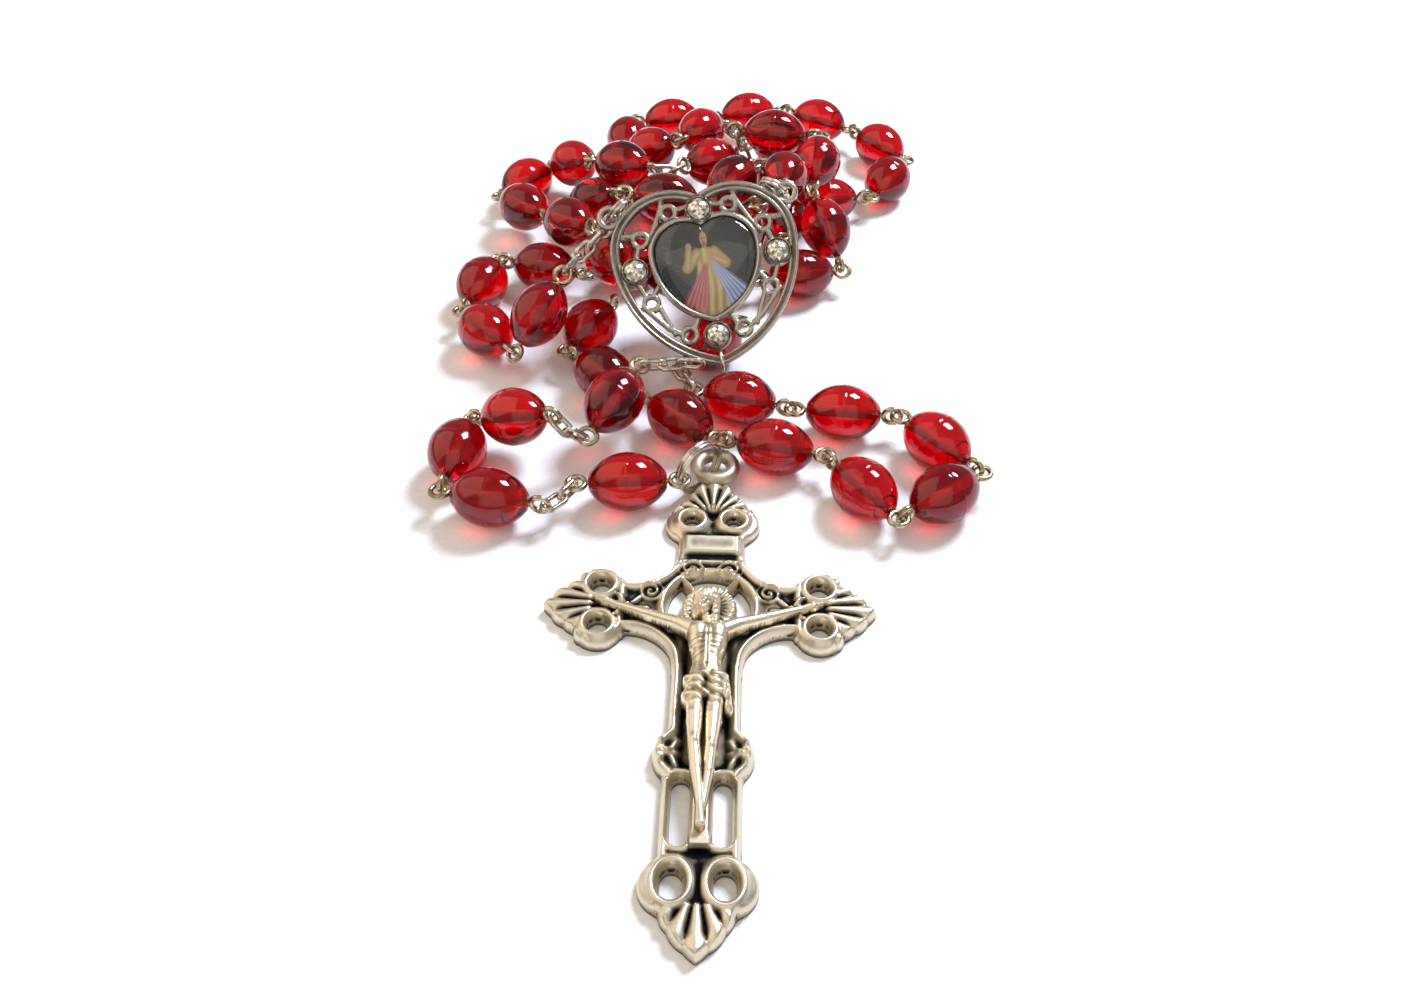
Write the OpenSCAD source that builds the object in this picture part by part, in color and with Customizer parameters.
// Rosary with oval beads on eye pins, a heart medal and a cast crucifix, lying in a loose heap.
// Millimetres, +Z up. The crucifix points to -Y. The loop and the medal lie towards +Y.

/* [Beads] */
// Length of one bead. The whole rosary grows with it, so the other sizes are those at 7.6
bead_length = 7.6; // [6:0.1:9.5]
// Width of one bead at its middle
bead_width = 5.8; // [4.6:0.1:5.9]
// Width of the small flat face at each end of a bead
bead_end_width = 1.5; // [1.2:0.1:2]
// Gap between a pin and the wall of its bead, all round
bead_clearance = 0.08; // [0.03:0.01:0.1]

/* [Wire] */
// Thickness of the wire that the eye of a pin is bent from
eye_wire = 0.55; // [0.4:0.01:0.66]
// Thickness of the pin inside a bead
shank_wire = 0.5; // [0.36:0.01:0.6]
// Radius of an eye, to the middle of its wire
eye_radius = 0.88; // [0.8:0.01:0.95]
// Thickness of the wire of a chain link
link_wire = 0.5; // [0.4:0.01:0.55]
// Thickness of the wire of the medal's double jump rings
ring_wire = 0.38; // [0.3:0.01:0.39]
// Thickness of the wire of the crucifix's double jump ring
cross_ring_wire = 0.5; // [0.4:0.01:0.55]

/* [Crucifix] */
// Height of the crucifix below its ring
crucifix_height = 50.3; // [40:0.1:62]
// Thickness of the sunk ground of the crucifix, at a height of 50.3
cross_ground = 1.1; // [0.9:0.05:1.3]
// Thickness of the raised border of the crucifix, at a height of 50.3
cross_rim = 1.55; // [1.4:0.05:1.8]
// Thickness of the cast ring on top of the crucifix, at a height of 50.3
cast_ring_wire = 1.4; // [1.1:0.05:1.45]

/* [Medal] */
// Thickness of the heart's frame
medal_thick = 1.2; // [1:0.05:1.45]
// Width of the heart's outer border
medal_border = 0.95; // [0.7:0.05:1.15]
// Thickness of the metal around the picture
bezel_wall = 0.55; // [0.4:0.05:0.7]
// Width of a set stone
stone_width = 2.5; // [2:0.05:2.6]

/* [Hidden] */
$fn = 48;
size = bead_length / 7.6;
// Where the middle of the whole object lies in the layout below
middle = [-0.306, 100.196, 0];

// ---- layout of the five runs: each unit reaches from its own start towards its point ----
base_length = 7.6;
eye_gap = 1.2;
pitch = base_length + 2 * eye_gap + eye_radius;
link_pitch = 1.95;
link_end = 0.65;
LINK = "link";

FIRST_RUN_START = [-9.65, 113.59, 14.33];
FIRST_RUN_FACE = [-0.38, -0.84, 0.39];
FIRST_RUN = [
    [LINK, [-11.4, 113.3, 12]],
    [LINK, [-12.8, 112.6, 10.8]],
    [LINK, [-14.6, 111.2, 9.8]],
    [LINK, [-15.6, 109.8, 9.2]],
    ["hail_mary_1_1", [-20.6, 103.8, 3.2]],
    ["hail_mary_1_2", [-27.2, 111.9, 2.95]],
    ["hail_mary_1_3", [-24.6, 122.6, 2.95]],
    ["hail_mary_1_4", [-13.6, 119.6, 2.95]],
    ["hail_mary_1_5", [-3.4, 124, 2.95]],
    ["hail_mary_1_6", [6.2, 118.4, 2.95]],
    ["hail_mary_1_7", [17, 120.6, 2.95]],
    ["hail_mary_1_8", [13, 129.5, 8.2]],
    ["hail_mary_1_9", [14.8, 140.4, 9.8]],
    ["hail_mary_1_10", [3.8, 141.8, 9.8]],
    [LINK, [4.6, 141.3, 8]],
    [LINK, [5.4, 140.8, 6]],
    ["our_father_2", [-2.8, 133.8, 9.2]],
    [LINK, [-3.8, 132.4, 9.3]],
    [LINK, [-5.2, 131.9, 9.5]],
    ["hail_mary_2_1", [-13.2, 137, 8]],
    ["hail_mary_2_2", [-18.7, 144.6, 3.5]],
    ["hail_mary_2_3", [-26.2, 137.2, 3.1]],
    ["hail_mary_2_4", [-18.4, 127.9, 5.4]],
    ["hail_mary_2_5", [-12, 119.4, 9.2]],
    ["hail_mary_2_6", [-7.6, 109.5, 7.4]],
    ["hail_mary_2_7", [2.8, 113.5, 8.8]],
    ["hail_mary_2_8", [6, 124.2, 9]]];

SECOND_RUN_START = [16.5, 149, 2.95];
SECOND_RUN = [
    ["our_father_3", [5.5, 150, 3.5]],
    [LINK, [4, 150, 5]],
    [LINK, [2.4, 150, 6.6]],
    ["hail_mary_3_1", [-3.4, 140.6, 9]],
    ["hail_mary_3_2", [-10.4, 146.5, 3.2]],
    ["hail_mary_3_3", [-10.3, 157.7, 2.95]],
    ["hail_mary_3_4", [0.9, 158.6, 2.95]],
    ["hail_mary_3_5", [12, 161.2, 2.95]],
    ["hail_mary_3_6", [21.3, 154.6, 2.95]],
    ["hail_mary_3_7", [27.8, 145.5, 2.95]],
    ["hail_mary_3_8", [21, 136.4, 2.95]],
    ["hail_mary_3_9", [9.6, 135.2, 3]],
    ["hail_mary_3_10", [9.5, 124, 5]]];

THIRD_RUN_START = [-10, 114.6, 2.95];
THIRD_RUN = [
    ["hail_mary_4_1", [-15, 104.8, 2.95]],
    ["hail_mary_4_2", [-7.4, 97.8, 2.95]],
    ["hail_mary_4_3", [0.8, 91, 2.95]],
    ["hail_mary_4_4", [11, 88.2, 2.95]],
    ["hail_mary_4_5", [18, 79.5, 2.95]],
    ["hail_mary_4_6", [27, 85.4, 2.95]],
    ["hail_mary_4_7", [19.4, 94.8, 2.95]],
    ["hail_mary_4_8", [8, 95.2, 2.95]],
    ["hail_mary_4_9", [-2.6, 98.6, 2.95]],
    [LINK, [-2.2, 100.6, 2.95]],
    [LINK, [-3, 102.4, 2.95]],
    ["our_father_5", [4, 110, 2.95]]];

FOURTH_RUN_START = [9, 146.6, 2.95];
FOURTH_RUN = [
    ["hail_mary_5_1", [7.2, 136.6, 2.95]],
    ["hail_mary_5_2", [-2.5, 131, 2.95]],
    ["hail_mary_5_3", [-8.7, 140.4, 2.95]],
    ["hail_mary_5_4", [-17.2, 133.2, 3]],
    ["hail_mary_5_5", [-10.6, 127.6, 9]],
    ["hail_mary_5_6", [0.4, 125.4, 9.2]],
    ["hail_mary_5_7", [6.1, 134.5, 9]],
    [LINK, [7.6, 134.5, 9]],
    [LINK, [9.2, 134.5, 8.9]],
    ["hail_mary_5_8", [9.1, 123.5, 12.4], [0.2, 0.3, 0.8]],
    [LINK, [8.5, 118.6, 11.4]],
    [LINK, [9, 118.7, 11.5]],
    [LINK, [8.4, 117, 14.9]],
    [LINK, [8.2, 116.2, 15]],
    [LINK, [7.65, 115.6, 16.5]]];

PENDANT_RUN_START = [-1.5, 84.45, 2.95];
PENDANT_RUN = [
    ["pendant_our_father_1", [-12, 84, 2.95]],
    [LINK, [-13.4, 82.4, 2.95]],
    [LINK, [-14.6, 81, 2.95]],
    ["pendant_hail_mary_1", [-25.2, 82.9, 2.95]],
    ["pendant_hail_mary_2", [-23.8, 93.8, 2.95]],
    ["pendant_hail_mary_3", [-13.2, 88.4, 7.8]],
    [LINK, [-12.8, 88.4, 4.9]],
    [LINK, [-11.6, 89.4, 3.6]],
    ["pendant_our_father_2", [-7, 97, 6.4]],
    [LINK, [-5, 97.8, 6.6]],
    [LINK, [-3, 98, 6.6]],
    [LINK, [-1, 98.1, 6.5]]];

function unit(v) = v / norm(v);
function reach(kind) = kind == LINK ? link_pitch : pitch;

// What is left of a vector across a direction
function across(v, way) = unit(v - (v * way) * way);
// Radius of the end that the next unit hooks into
function end_radius(kind) = kind == LINK ? link_end : eye_radius;
// A pin's far eye lies in the plane of the bend that follows it. A link keeps its own plane
function far_face(kind, way, near, next_way) =
    kind == LINK ? near
    : norm(cross(way, next_way)) > 0.1 ? unit(cross(way, next_way))
    : across([0, 0, 1], way);

// Every unit of a run: [name, start, direction, normal of its first eye, normal of its last eye].
// Each unit hooks into the last one at a right angle and may turn about that unit's end.
function laid(run, at, near, i = 0) =
    i == len(run) ? []
    : let (way = unit(run[i][1] - at),
           face = across(near, way),
           end = at + reach(run[i][0]) * way,
           next_way = i + 1 < len(run) ? unit(run[i + 1][1] - end) : way,
           far = len(run[i]) > 2 ? across(run[i][2], way) : far_face(run[i][0], way, face, next_way),
           hook = across(next_way, far),
           next_at = end + end_radius(run[i][0]) * (hook - next_way))
        concat([[run[i][0], at, way, face, far]],
               laid(run, next_at, unit(cross(next_way, far)), i + 1));

FIRST = laid(FIRST_RUN, FIRST_RUN_START, FIRST_RUN_FACE);
SECOND = laid(SECOND_RUN, SECOND_RUN_START, [0, 1, 0]);
THIRD = laid(THIRD_RUN, THIRD_RUN_START, [1, 0, 0]);
FOURTH = laid(FOURTH_RUN, FOURTH_RUN_START, [1, 0, 0]);
PENDANT = laid(PENDANT_RUN, PENDANT_RUN_START, [0, 0, 1]);
ALL_UNITS = concat(FIRST, SECOND, THIRD, FOURTH, PENDANT);
HIDDEN_BEADS = ["hail_mary_1_5", "hail_mary_1_6", "hail_mary_2_7", "hail_mary_2_8", "our_father_3",
    "our_father_5", "hail_mary_5_1", "hail_mary_5_2", "hail_mary_5_3", "hail_mary_5_4"];

// ---- crucifix ----
cross_scale = crucifix_height / 50.3;
cross_turn = -2;
cast_ring_height = 1.45;
cast_ring_radius = 1.8;
// Middle of the hole in the crucifix's ring, in the layout
cross_hole = [1.1, 87.85, cast_ring_height * cross_scale];
halo_middle = [0, -18];
halo_radius = 2.5;
// How far the middle of a vein or scroll lies under the ground's face
relief_sink = 0.08;

// ---- medal ----
medal_middle = [0.3, 109.1, 11];
medal_lean = 40;
medal_spin = 8.6;
lobe_x = 3.4;
lobe_y = 2;
lobe_r = 6.6;
flank_r = 13.45;
bezel_scale = 0.6;
bezel_rise = 0.3;
back_plate = 0.4;
print_thick = 0.3;
dome_rise = 0.75;
ear_place = [9.5, 6.65];
ear_radius = 1.05;
ear_wire = 0.6;
jump_radius = 1.45;
jump_lean = 20;
jump_way = [0.8, 0.6];
scroll_wire = 0.45;
STONES = [[0, 6.05], [-7.65, 0.3], [7.65, 0.3], [0, -7.75]];

// Puts a piece of the layout in the part's own frame
module placed() {
    scale(size)
        translate(-middle)
            children();
}

// Turns +X along a direction and moves the origin to a point
module along(at, way) {
    translate(at)
        rotate([0, -asin(way[2]), atan2(way[1], way[0])])
            children();
}

// Turns +Z along a direction and moves the origin to a point
module facing(at, way) {
    translate(at)
        rotate([0, acos(way[2]), atan2(way[1], way[0])])
            children();
}

module wire_ring(radius, wire) {
    rotate_extrude($fn = 40)
        translate([radius, 0])
            circle(d = wire, $fn = 20);
}

// Two close turns of wire, side by side along Z
module double_ring(radius, wire) {
    for (side = [-1, 1])
        translate([0, 0, side * wire * 0.48])
            wire_ring(radius, wire);
}

// ---- beads, pins and links, each lying along +X from its start ----

// Half the outline of a bead: an arc between the two end faces, with the bore left open
module bead_profile() {
    half = base_length / 2;
    bulge = (bead_width - bead_end_width) / 2;
    arc = (half * half + bulge * bulge) / (2 * bulge);
    bore = shank_wire / 2 + bead_clearance;
    turn = asin(half / arc) / 12;
    side = [for (i = [-12 : 12]) [bead_width / 2 - arc + arc * cos(i * turn), arc * sin(i * turn)]];
    polygon(concat(side, [[bore, half], [bore, -half]]));
}

module bead() {
    translate([eye_radius + eye_gap + base_length / 2, 0, 0])
        rotate([0, 90, 0])
            rotate_extrude($fn = 48)
                bead_profile();
}

// An eye at each end of a straight shank. Each eye faces its own way
module eye_pin(unit_laid) {
    start = unit_laid[1];
    way = unit_laid[2];
    shank_start = 2 * eye_radius;
    shank_end = pitch - eye_radius;
    facing(start + eye_radius * way, unit_laid[3])
        wire_ring(eye_radius, eye_wire);
    along(start + shank_start * way, way)
        rotate([0, 90, 0])
            cylinder(h = shank_end - shank_start, d = shank_wire, $fn = 24);
    facing(start + pitch * way, unit_laid[4])
        wire_ring(eye_radius, eye_wire);
}

// One chain link along +X in the XY plane: two half rings joined by two straight wires
module chain_link() {
    straight = link_pitch - link_end;
    translate([link_end, 0, 0]) {
        rotate([0, 0, 90])
            rotate_extrude(angle = 180, $fn = 40)
                translate([link_end, 0])
                    circle(d = link_wire, $fn = 20);
        translate([straight, 0, 0])
            rotate([0, 0, -90])
                rotate_extrude(angle = 180, $fn = 40)
                    translate([link_end, 0])
                        circle(d = link_wire, $fn = 20);
        for (side = [-1, 1])
            translate([0, side * link_end, 0])
                rotate([0, 90, 0])
                    cylinder(h = straight, d = link_wire, $fn = 20);
    }
}

// Turns +X along a direction and +Z along a normal, and moves the origin to a point
module lying(at, way, face) {
    side = cross(face, way);
    multmatrix([
        [way[0], side[0], face[0], at[0]],
        [way[1], side[1], face[1], at[1]],
        [way[2], side[2], face[2], at[2]],
        [0, 0, 0, 1]])
        children();
}

module bead_named(name) {
    color([0.75, 0.02, 0.04])
        placed()
            for (u = ALL_UNITS)
                if (u[0] == name)
                    along(u[1], u[2])
                        bead();
}

module hidden_beads() {
    for (name = HIDDEN_BEADS)
        bead_named(name);
}

module pins(run) {
    color([0.76, 0.72, 0.64])
        placed()
            for (u = run)
                if (u[0] != LINK)
                    eye_pin(u);
}

module pins_first_run() {
    pins(FIRST);
}

module pins_second_run() {
    pins(SECOND);
}

module pins_third_run() {
    pins(THIRD);
}

module pins_fourth_run() {
    pins(FOURTH);
}

module pins_pendant() {
    pins(PENDANT);
}

module chain_links() {
    color([0.8, 0.79, 0.76])
        placed()
            for (u = ALL_UNITS)
                if (u[0] == LINK)
                    lying(u[1], u[2], u[3])
                        chain_link();
}

// ---- crucifix, standing on its foot along Y with its ring at the origin ----

module cross_placed() {
    placed()
        translate([cross_hole[0], cross_hole[1], 0])
            rotate([0, 0, cross_turn])
                scale(cross_scale)
                    children();
}

module both_sides() {
    children();
    mirror([1, 0, 0])
        children();
}

module disc(x, y, r) {
    translate([x, y])
        circle(r = r, $fn = 64);
}

// A bar about the middle line, from one height to another
module bar(half, low, high) {
    translate([-half, low])
        square([2 * half, high - low]);
}

// Outline of the casting, drawn in by a margin
module cross_outline(m) {
    polygon([[-1.3 + m, -2.1], [1.3 - m, -2.1], [4.05 - m, -6.3], [-4.05 + m, -6.3]]);
    both_sides()
        disc(2.35, -7.35, 2.15 - m);
    bar(3.1 - m, -12.5, -7);
    difference() {
        bar(8.4, -25 + m, -11.9 - m);
        both_sides() {
            disc(7.1, -11.4, 4 + m);
            disc(7.3, -25.1, 4.4 + m);
            translate([7, -15.4 - m])
                square([2, 6]);
            translate([7, -26.7 + m])
                square([2, 6]);
        }
    }
    both_sides() {
        disc(9.9, -15.8, 2.15 - m);
        disc(9.8, -20.4, 2.15 - m);
        intersection() {
            disc(9.2, -21, 6.44 - m);
            disc(9.2, -15, 6.44 - m);
            translate([7.6, -24])
                square([8, 12]);
        }
        disc(1.5, -33.4, 2.65 - m);
        disc(2.3, -44.7, 2.25 - m);
    }
    bar(3 - m, -45, -20);
    bar(3.2 - m, -44.5, -35.6);
    intersection() {
        disc(-3.2, -44.6, 6.54 - m);
        disc(3.2, -44.6, 6.54 - m);
        bar(6, -52, -44);
    }
}

module slot(x, y, r, spread) {
    disc(x, y - spread, r);
    disc(x, y + spread, r);
    translate([x - r, y - spread])
        square([2 * r, 2 * spread]);
}

// The pierced openings
module cross_openings() {
    both_sides() {
        disc(2, -7.35, 0.75);
        disc(9.9, -15.8, 0.9);
        disc(9.8, -20.4, 0.9);
        slot(1.55, -38.5, 0.62, 2.2);
        slot(1.9, -44.7, 0.85, 0.35);
    }
    difference() {
        translate(halo_middle)
            circle(r = 3.75, $fn = 64);
        translate(halo_middle)
            circle(r = halo_radius, $fn = 64);
        bar(1.9, -24, -19);
        translate(halo_middle)
            both_sides()
                rotate(38)
                    translate([-0.4, 0])
                        square([0.8, 6]);
        bar(8, -24, -20.2);
    }
}

// A leaf vein that widens as it goes out, sunk in the ground to a little over half
module vein(x, y, angle, reach_out, wide) {
    translate([x, y, cross_ground - relief_sink])
        rotate([0, 0, angle])
            rotate([0, 90, 0])
                cylinder(h = reach_out, r1 = wide * 0.45, r2 = wide, $fn = 16);
}

// Veins from one point. Each is shorter than the one inside it by the share in drop
module fan(x, y, middle_angle, step, count, reach_out, wide, drop) {
    for (i = [0 : count - 1])
        vein(x, y, middle_angle + (i - (count - 1) / 2) * step,
             reach_out * (1 - drop * abs(i - (count - 1) / 2)), wide);
}

module scroll(x, y, r, wire) {
    translate([x, y, cross_ground - relief_sink])
        wire_ring(r, wire);
}

// Two crossed ribs
module lattice(x, y, reach_out) {
    for (angle = [40, 140])
        translate([x, y, cross_ground - relief_sink])
            rotate([0, 0, angle])
                translate([-reach_out / 2, 0, 0])
                    rotate([0, 90, 0])
                        cylinder(h = reach_out, r = 0.24, $fn = 16);
}

module crucifix_cross() {
    color([0.72, 0.69, 0.62])
        cross_placed() {
            linear_extrude(cross_ground)
                difference() {
                    cross_outline(0);
                    cross_openings();
                }
            linear_extrude(cross_rim)
                difference() {
                    cross_outline(0);
                    cross_outline(0.55);
                    cross_openings();
                }
            translate([0, 0, cast_ring_height])
                wire_ring(cast_ring_radius, cast_ring_wire);
            fan(0, -6.4, 90, 23, 5, 3.1, 0.32, 0.2);
            fan(0, -45.2, -90, 22, 5, 3.9, 0.34, 0.14);
            both_sides() {
                scroll(2, -7.35, 1.15, 0.7);
                scroll(1.55, -13.4, 0.75, 0.5);
                scroll(5.4, -16.7, 0.75, 0.5);
                scroll(9.9, -15.8, 1.3, 0.75);
                scroll(9.8, -20.4, 1.3, 0.75);
                scroll(1.9, -44.7, 1.45, 0.6);
                fan(9.9, -18.1, 0, 21, 5, 3.8, 0.34, 0.09);
                lattice(6.7, -18.2, 2.4);
                lattice(2.6, -33.4, 2.2);
            }
            translate([-2.7, -11.7, 0])
                cube([5.4, 2.6, cross_rim + 0.1]);
            translate([halo_middle[0], halo_middle[1], cross_ground])
                cylinder(h = 0.35, r1 = halo_radius - 0.05, r2 = halo_radius - 0.35, $fn = 48);
            translate([-0.85, -42, 0])
                cube([1.7, 1.5, cross_rim + 0.5]);
        }
}

// ---- the figure: rounded limbs between joints, each joint a ball ----

module limb(a, b, ra, rb) {
    hull() {
        translate(a)
            sphere(r = ra, $fn = 16);
        translate(b)
            sphere(r = rb, $fn = 16);
    }
}

corpus_floor = cross_rim + 0.15;

module corpus() {
    deep = corpus_floor;
    color([0.78, 0.75, 0.68])
        cross_placed()
            difference() {
                union() {
                    // head, hair and beard
                    limb([-0.35, -18.6, deep + 1.35], [-0.55, -19.7, deep + 1.35], 0.98, 0.72);
                    limb([0.25, -18.5, deep + 1.1], [0.45, -20.5, deep + 0.75], 0.75, 0.4);
                    limb([-1, -18.8, deep + 1.05], [-1.15, -20.3, deep + 0.8], 0.6, 0.35);
                    limb([-0.1, -20, deep + 0.8], [0, -21.3, deep + 0.6], 0.62, 0.75);
                    both_sides() {
                        // shoulder, upper arm, forearm and hand
                        limb([1.2, -21.8, deep + 0.75], [2.6, -20.9, deep + 0.7], 0.78, 0.66);
                        limb([2.6, -20.9, deep + 0.7], [5.2, -19.9, deep + 0.55], 0.6, 0.46);
                        limb([5.2, -19.9, deep + 0.55], [8.5, -18.6, deep + 0.38], 0.46, 0.3);
                        limb([8.5, -18.6, deep + 0.38], [9.75, -18.1, deep + 0.34], 0.32, 0.42);
                        // chest and waist
                        limb([0.85, -22.2, deep + 0.9], [0.6, -24.2, deep + 0.85], 1.0, 0.78);
                        limb([0.6, -24.2, deep + 0.7], [0.55, -26.2, deep + 0.65], 0.75, 0.72);
                        // hip
                        limb([0.6, -26.2, deep + 0.7], [0.75, -28, deep + 0.75], 0.85, 0.95);
                    }
                    // cloth round the hips, with its knot
                    limb([-1.3, -27.2, deep + 0.75], [1.25, -26.8, deep + 0.75], 0.75, 0.7);
                    limb([-1.1, -28.6, deep + 0.8], [1.05, -28.3, deep + 0.8], 0.8, 0.8);
                    limb([1.5, -27.2, deep + 0.7], [1.9, -29.8, deep + 0.45], 0.55, 0.4);
                    // legs, the near one over the far one
                    limb([-0.8, -28.8, deep + 0.8], [-0.75, -33.6, deep + 1.15], 0.85, 0.62);
                    limb([0.85, -28.8, deep + 0.8], [0.6, -33.8, deep + 0.95], 0.85, 0.6);
                    limb([-0.75, -33.6, deep + 1.15], [-0.1, -38.8, deep + 0.85], 0.6, 0.42);
                    limb([0.6, -33.8, deep + 0.95], [0.15, -38.6, deep + 0.55], 0.58, 0.4);
                    limb([-0.1, -38.8, deep + 0.85], [0.05, -40.7, deep + 0.95], 0.42, 0.5);
                }
                // flat back, just clear of the cross
                translate([-20, -60, cross_rim - 5])
                    cube([40, 60, 5.05]);
                translate([-1.2, -42.3, 0])
                    cube([2.4, 2.1, cross_rim + 0.55]);
            }
}

NAILS = [[-9.6, -18.15], [9.6, -18.15], [0.02, -40]];
nail_top = [0.72, 0.72, 1.5];

module corpus_nails() {
    color([0.6, 0.57, 0.5])
        cross_placed()
            for (i = [0 : 2])
                translate([NAILS[i][0], NAILS[i][1], 0.5]) {
                    cylinder(h = corpus_floor + nail_top[i] - 0.5, r = 0.2, $fn = 20);
                    translate([0, 0, corpus_floor + nail_top[i] - 0.6])
                        cylinder(h = 0.3, r = 0.32, $fn = 20);
                }
}

// The ring between the crucifix and the first pendant bead. It stands on edge through both holes.
module crucifix_ring() {
    radius = 2.65;
    eye = PENDANT_RUN_START + [-eye_radius, 0, 0];
    span = eye - cross_hole;
    up = unit([0, 0, 1] - unit(span)[2] * unit(span));
    rise = sqrt(radius * radius - norm(span) * norm(span) / 4);
    middle_point = (eye + cross_hole) / 2 + rise * up;
    color([0.8, 0.76, 0.68])
        placed()
            facing(middle_point, unit(cross(span, up)))
                double_ring(radius, cross_ring_wire);
}

// ---- medal, lying in its own plane with the point of the heart to -Y ----

module medal_placed() {
    placed()
        translate(medal_middle)
            rotate([medal_lean, 0, 0])
                rotate([0, 0, medal_spin])
                    children();
}

// A heart drawn in by a margin: two lobes above, two long arcs below
module heart(m) {
    intersection() {
        union() {
            disc(-lobe_x, lobe_y, lobe_r - m);
            disc(lobe_x, lobe_y, lobe_r - m);
            translate([-1, lobe_y])
                square([2, 4]);
        }
        translate([-12, lobe_y])
            square([24, 12]);
    }
    intersection() {
        disc(-(flank_r - lobe_r - lobe_x), lobe_y, flank_r - m);
        disc(flank_r - lobe_r - lobe_x, lobe_y, flank_r - m);
        translate([-12, lobe_y - 16])
            square([24, 16]);
    }
}

module bezel_heart(m) {
    translate([0, bezel_rise])
        scale(bezel_scale)
            heart(m / bezel_scale);
}

module loop(x, y, r) {
    translate([x, y])
        difference() {
            circle(r = r, $fn = 40);
            circle(r = r - scroll_wire, $fn = 40);
        }
}

// A strip between two points
module strip(a, b) {
    way = b - a;
    translate(a)
        rotate(atan2(way[1], way[0]))
            translate([0, -scroll_wire / 2])
                square([norm(way), scroll_wire]);
}

// The scrolls of the filigree, between the border and the bezel
module scrolls() {
    both_sides() {
        loop(3.25, 6.2, 1);
        loop(6.6, 3.7, 1);
        loop(6.4, -3.3, 1);
        loop(2.9, -7.3, 1);
        strip([4.2, 6.4], [5.6, 3.6]);
        strip([4.2, 6.4], [3.6, 8.6]);
        strip([7.4, 4.3], [8.9, 4.2]);
        strip([7.3, -3.6], [5, -6.2]);
        strip([5, -6.2], [3.8, -7]);
        strip([5.6, -3.9], [4.4, -6.9]);
        strip([6, -2.4], [5.2, -1.4]);
        strip([2.2, -6.6], [1.6, -5.4]);
        strip([2.6, 5.4], [2.4, 4.7]);
        strip([1.2, 6.6], [2.6, 6.4]);
        strip([7.4, 1.4], [6.9, 2.9]);
        strip([7.5, -1], [6.9, -2.5]);
    }
}

module stone_cups() {
    for (s = STONES)
        translate(s)
            circle(d = stone_width + 0.5, $fn = 40);
}

// The raised outer border, with a groove along its top
module border() {
    groove_deep = 0.2;
    difference() {
        linear_extrude(medal_thick)
            difference() {
                heart(0);
                heart(medal_border);
            }
        translate([0, 0, medal_thick - groove_deep])
            linear_extrude(1)
                difference() {
                    heart(0.35);
                    heart(medal_border - 0.2);
                }
    }
}

module bezel() {
    linear_extrude(medal_thick + 0.15)
        difference() {
            bezel_heart(0);
            bezel_heart(bezel_wall);
        }
    linear_extrude(back_plate)
        bezel_heart(0.1);
}

module medal_frame() {
    filigree_low = 0.15;
    color([0.66, 0.64, 0.6])
        medal_placed() {
            difference() {
                union() {
                    border();
                    bezel();
                    translate([0, 0, filigree_low])
                        linear_extrude(medal_thick - 0.4)
                            intersection() {
                                difference() {
                                    scrolls();
                                    bezel_heart(0.2);
                                }
                                heart(0.3);
                            }
                    translate([0, 0, 0.1])
                        linear_extrude(medal_thick)
                            intersection() {
                                stone_cups();
                                heart(0.2);
                            }
                }
                for (s = STONES)
                    translate([s[0], s[1], back_plate])
                        cylinder(h = 3, d = stone_width, $fn = 40);
                translate([0, 0, back_plate])
                    linear_extrude(3)
                        bezel_heart(bezel_wall);
            }
            both_sides()
                translate([ear_place[0], ear_place[1], medal_thick / 2])
                    wire_ring(ear_radius, ear_wire);
        }
}

module medal_print() {
    color([0.16, 0.15, 0.11])
        medal_placed()
            translate([0, 0, back_plate])
                linear_extrude(print_thick)
                    bezel_heart(bezel_wall + 0.03);
}

// A clear lens over the picture: a plate to the top of the bezel and a round crown on it
module medal_dome() {
    base = back_plate + print_thick;
    edge = medal_thick - base - 0.1;
    crown = 3.4;
    ball = (crown * crown + dome_rise * dome_rise) / (2 * dome_rise);
    color([0.95, 0.97, 1, 0.3])
        medal_placed()
            translate([0, 0, base]) {
                linear_extrude(edge)
                    bezel_heart(bezel_wall + 0.03);
                translate([0, 0.6, edge - 0.1])
                    rotate_extrude($fn = 64)
                        intersection() {
                            translate([0, dome_rise - ball])
                                circle(r = ball, $fn = 128);
                            square([crown + 1, dome_rise]);
                        }
            }
}

// Round stones with a flat table and sloping sides, seated in their cups
module medal_stones() {
    color([0.92, 0.9, 0.86, 0.6])
        medal_placed()
            for (s = STONES)
                translate([s[0], s[1], back_plate + 0.02]) {
                    cylinder(h = medal_thick - back_plate - 0.1, d = stone_width - 0.06, $fn = 40);
                    translate([0, 0, medal_thick - back_plate - 0.1])
                        cylinder(h = 0.42, d1 = stone_width - 0.06, d2 = stone_width * 0.5, $fn = 40);
                }
}

// The two double rings that hang the medal from the loop's chains, one through each ear
module medal_jump_rings() {
    color([0.8, 0.79, 0.75])
        medal_placed()
            both_sides()
                translate([ear_place[0], ear_place[1], medal_thick / 2])
                    rotate([0, 0, atan2(jump_way[1], -jump_way[0])])
                        rotate([0, jump_lean, 0])
                            translate([jump_radius, 0, 0])
                                rotate([90, 0, 0])
                                    double_ring(jump_radius, ring_wire);
}

// The ring round the border at the point of the heart
module medal_bottom_ring() {
    tip = lobe_y - sqrt(flank_r * flank_r - pow(flank_r - lobe_r - lobe_x, 2));
    color([0.8, 0.79, 0.75])
        medal_placed()
            translate([0, tip + medal_border / 2 + 0.03, medal_thick / 2])
                rotate([0, 90, 0])
                    wire_ring(1.04, 0.34);
}

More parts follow.
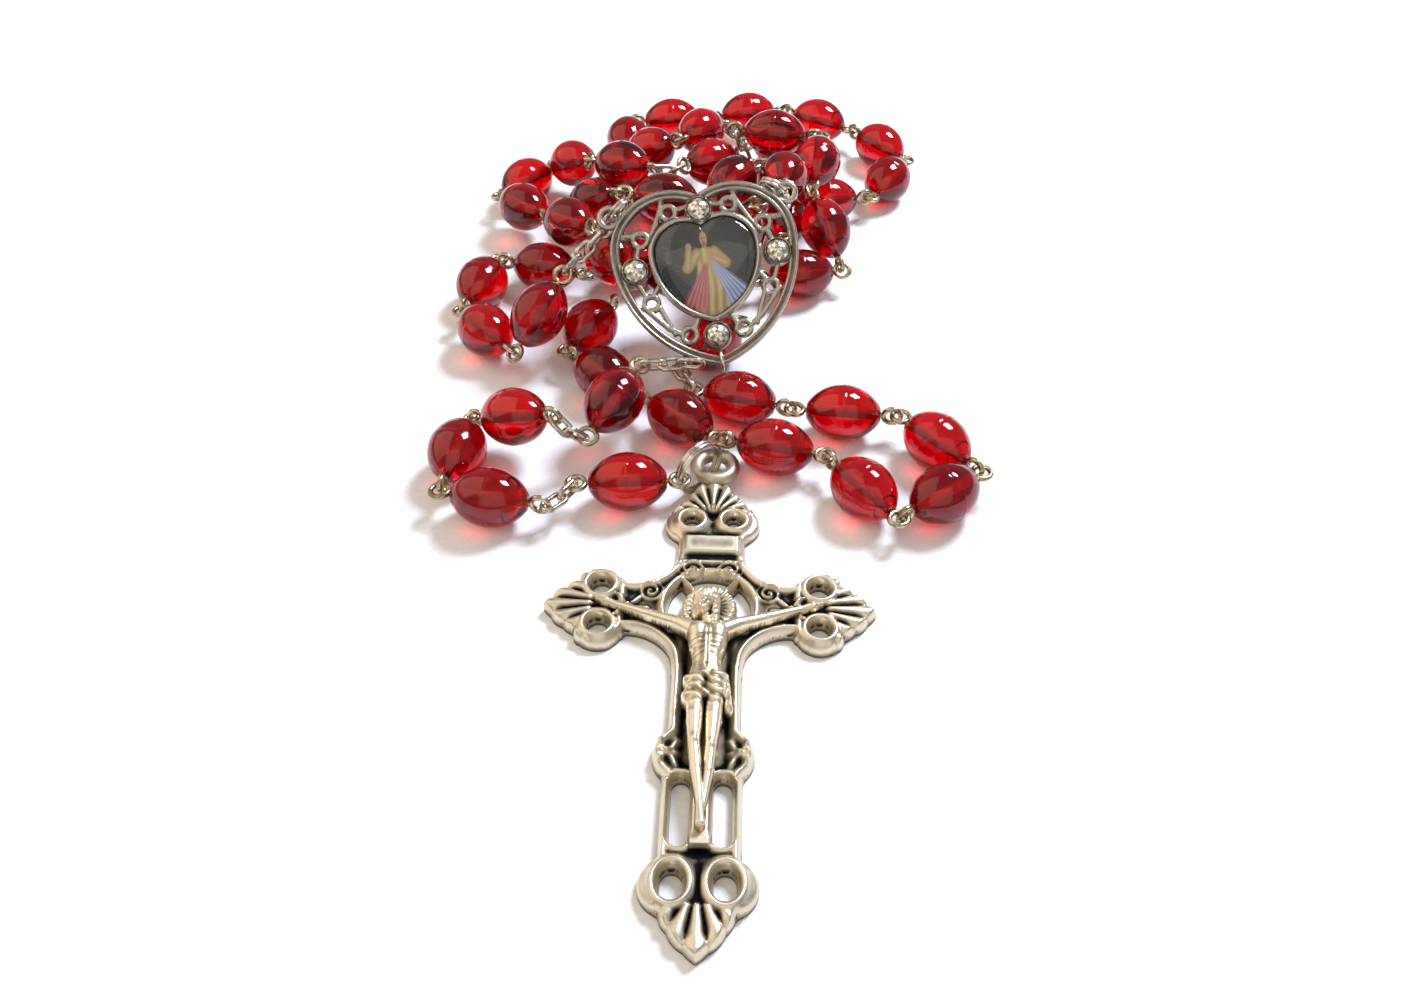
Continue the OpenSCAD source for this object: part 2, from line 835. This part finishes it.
crucifix_cross();
corpus();
corpus_nails();
crucifix_ring();
medal_frame();
medal_print();
medal_dome();
medal_stones();
medal_jump_rings();
medal_bottom_ring();
chain_links();
pins_first_run();
pins_second_run();
pins_third_run();
pins_fourth_run();
pins_pendant();
hidden_beads();
bead_named("hail_mary_1_1");  // hail_mary_1_1
bead_named("hail_mary_1_2");  // hail_mary_1_2
bead_named("hail_mary_1_3");  // hail_mary_1_3
bead_named("hail_mary_1_4");  // hail_mary_1_4
bead_named("hail_mary_1_7");  // hail_mary_1_7
bead_named("hail_mary_1_8");  // hail_mary_1_8
bead_named("hail_mary_1_9");  // hail_mary_1_9
bead_named("hail_mary_1_10");  // hail_mary_1_10
bead_named("our_father_2");  // our_father_2
bead_named("hail_mary_2_1");  // hail_mary_2_1
bead_named("hail_mary_2_2");  // hail_mary_2_2
bead_named("hail_mary_2_3");  // hail_mary_2_3
bead_named("hail_mary_2_4");  // hail_mary_2_4
bead_named("hail_mary_2_5");  // hail_mary_2_5
bead_named("hail_mary_2_6");  // hail_mary_2_6
bead_named("hail_mary_3_1");  // hail_mary_3_1
bead_named("hail_mary_3_2");  // hail_mary_3_2
bead_named("hail_mary_3_3");  // hail_mary_3_3
bead_named("hail_mary_3_4");  // hail_mary_3_4
bead_named("hail_mary_3_5");  // hail_mary_3_5
bead_named("hail_mary_3_6");  // hail_mary_3_6
bead_named("hail_mary_3_7");  // hail_mary_3_7
bead_named("hail_mary_3_8");  // hail_mary_3_8
bead_named("hail_mary_3_9");  // hail_mary_3_9
bead_named("hail_mary_3_10");  // hail_mary_3_10
bead_named("hail_mary_4_1");  // hail_mary_4_1
bead_named("hail_mary_4_2");  // hail_mary_4_2
bead_named("hail_mary_4_3");  // hail_mary_4_3
bead_named("hail_mary_4_4");  // hail_mary_4_4
bead_named("hail_mary_4_5");  // hail_mary_4_5
bead_named("hail_mary_4_6");  // hail_mary_4_6
bead_named("hail_mary_4_7");  // hail_mary_4_7
bead_named("hail_mary_4_8");  // hail_mary_4_8
bead_named("hail_mary_4_9");  // hail_mary_4_9
bead_named("hail_mary_5_5");  // hail_mary_5_5
bead_named("hail_mary_5_6");  // hail_mary_5_6
bead_named("hail_mary_5_7");  // hail_mary_5_7
bead_named("hail_mary_5_8");  // hail_mary_5_8
bead_named("pendant_our_father_1");  // pendant_our_father_1
bead_named("pendant_hail_mary_1");  // pendant_hail_mary_1
bead_named("pendant_hail_mary_2");  // pendant_hail_mary_2
bead_named("pendant_hail_mary_3");  // pendant_hail_mary_3
bead_named("pendant_our_father_2");  // pendant_our_father_2
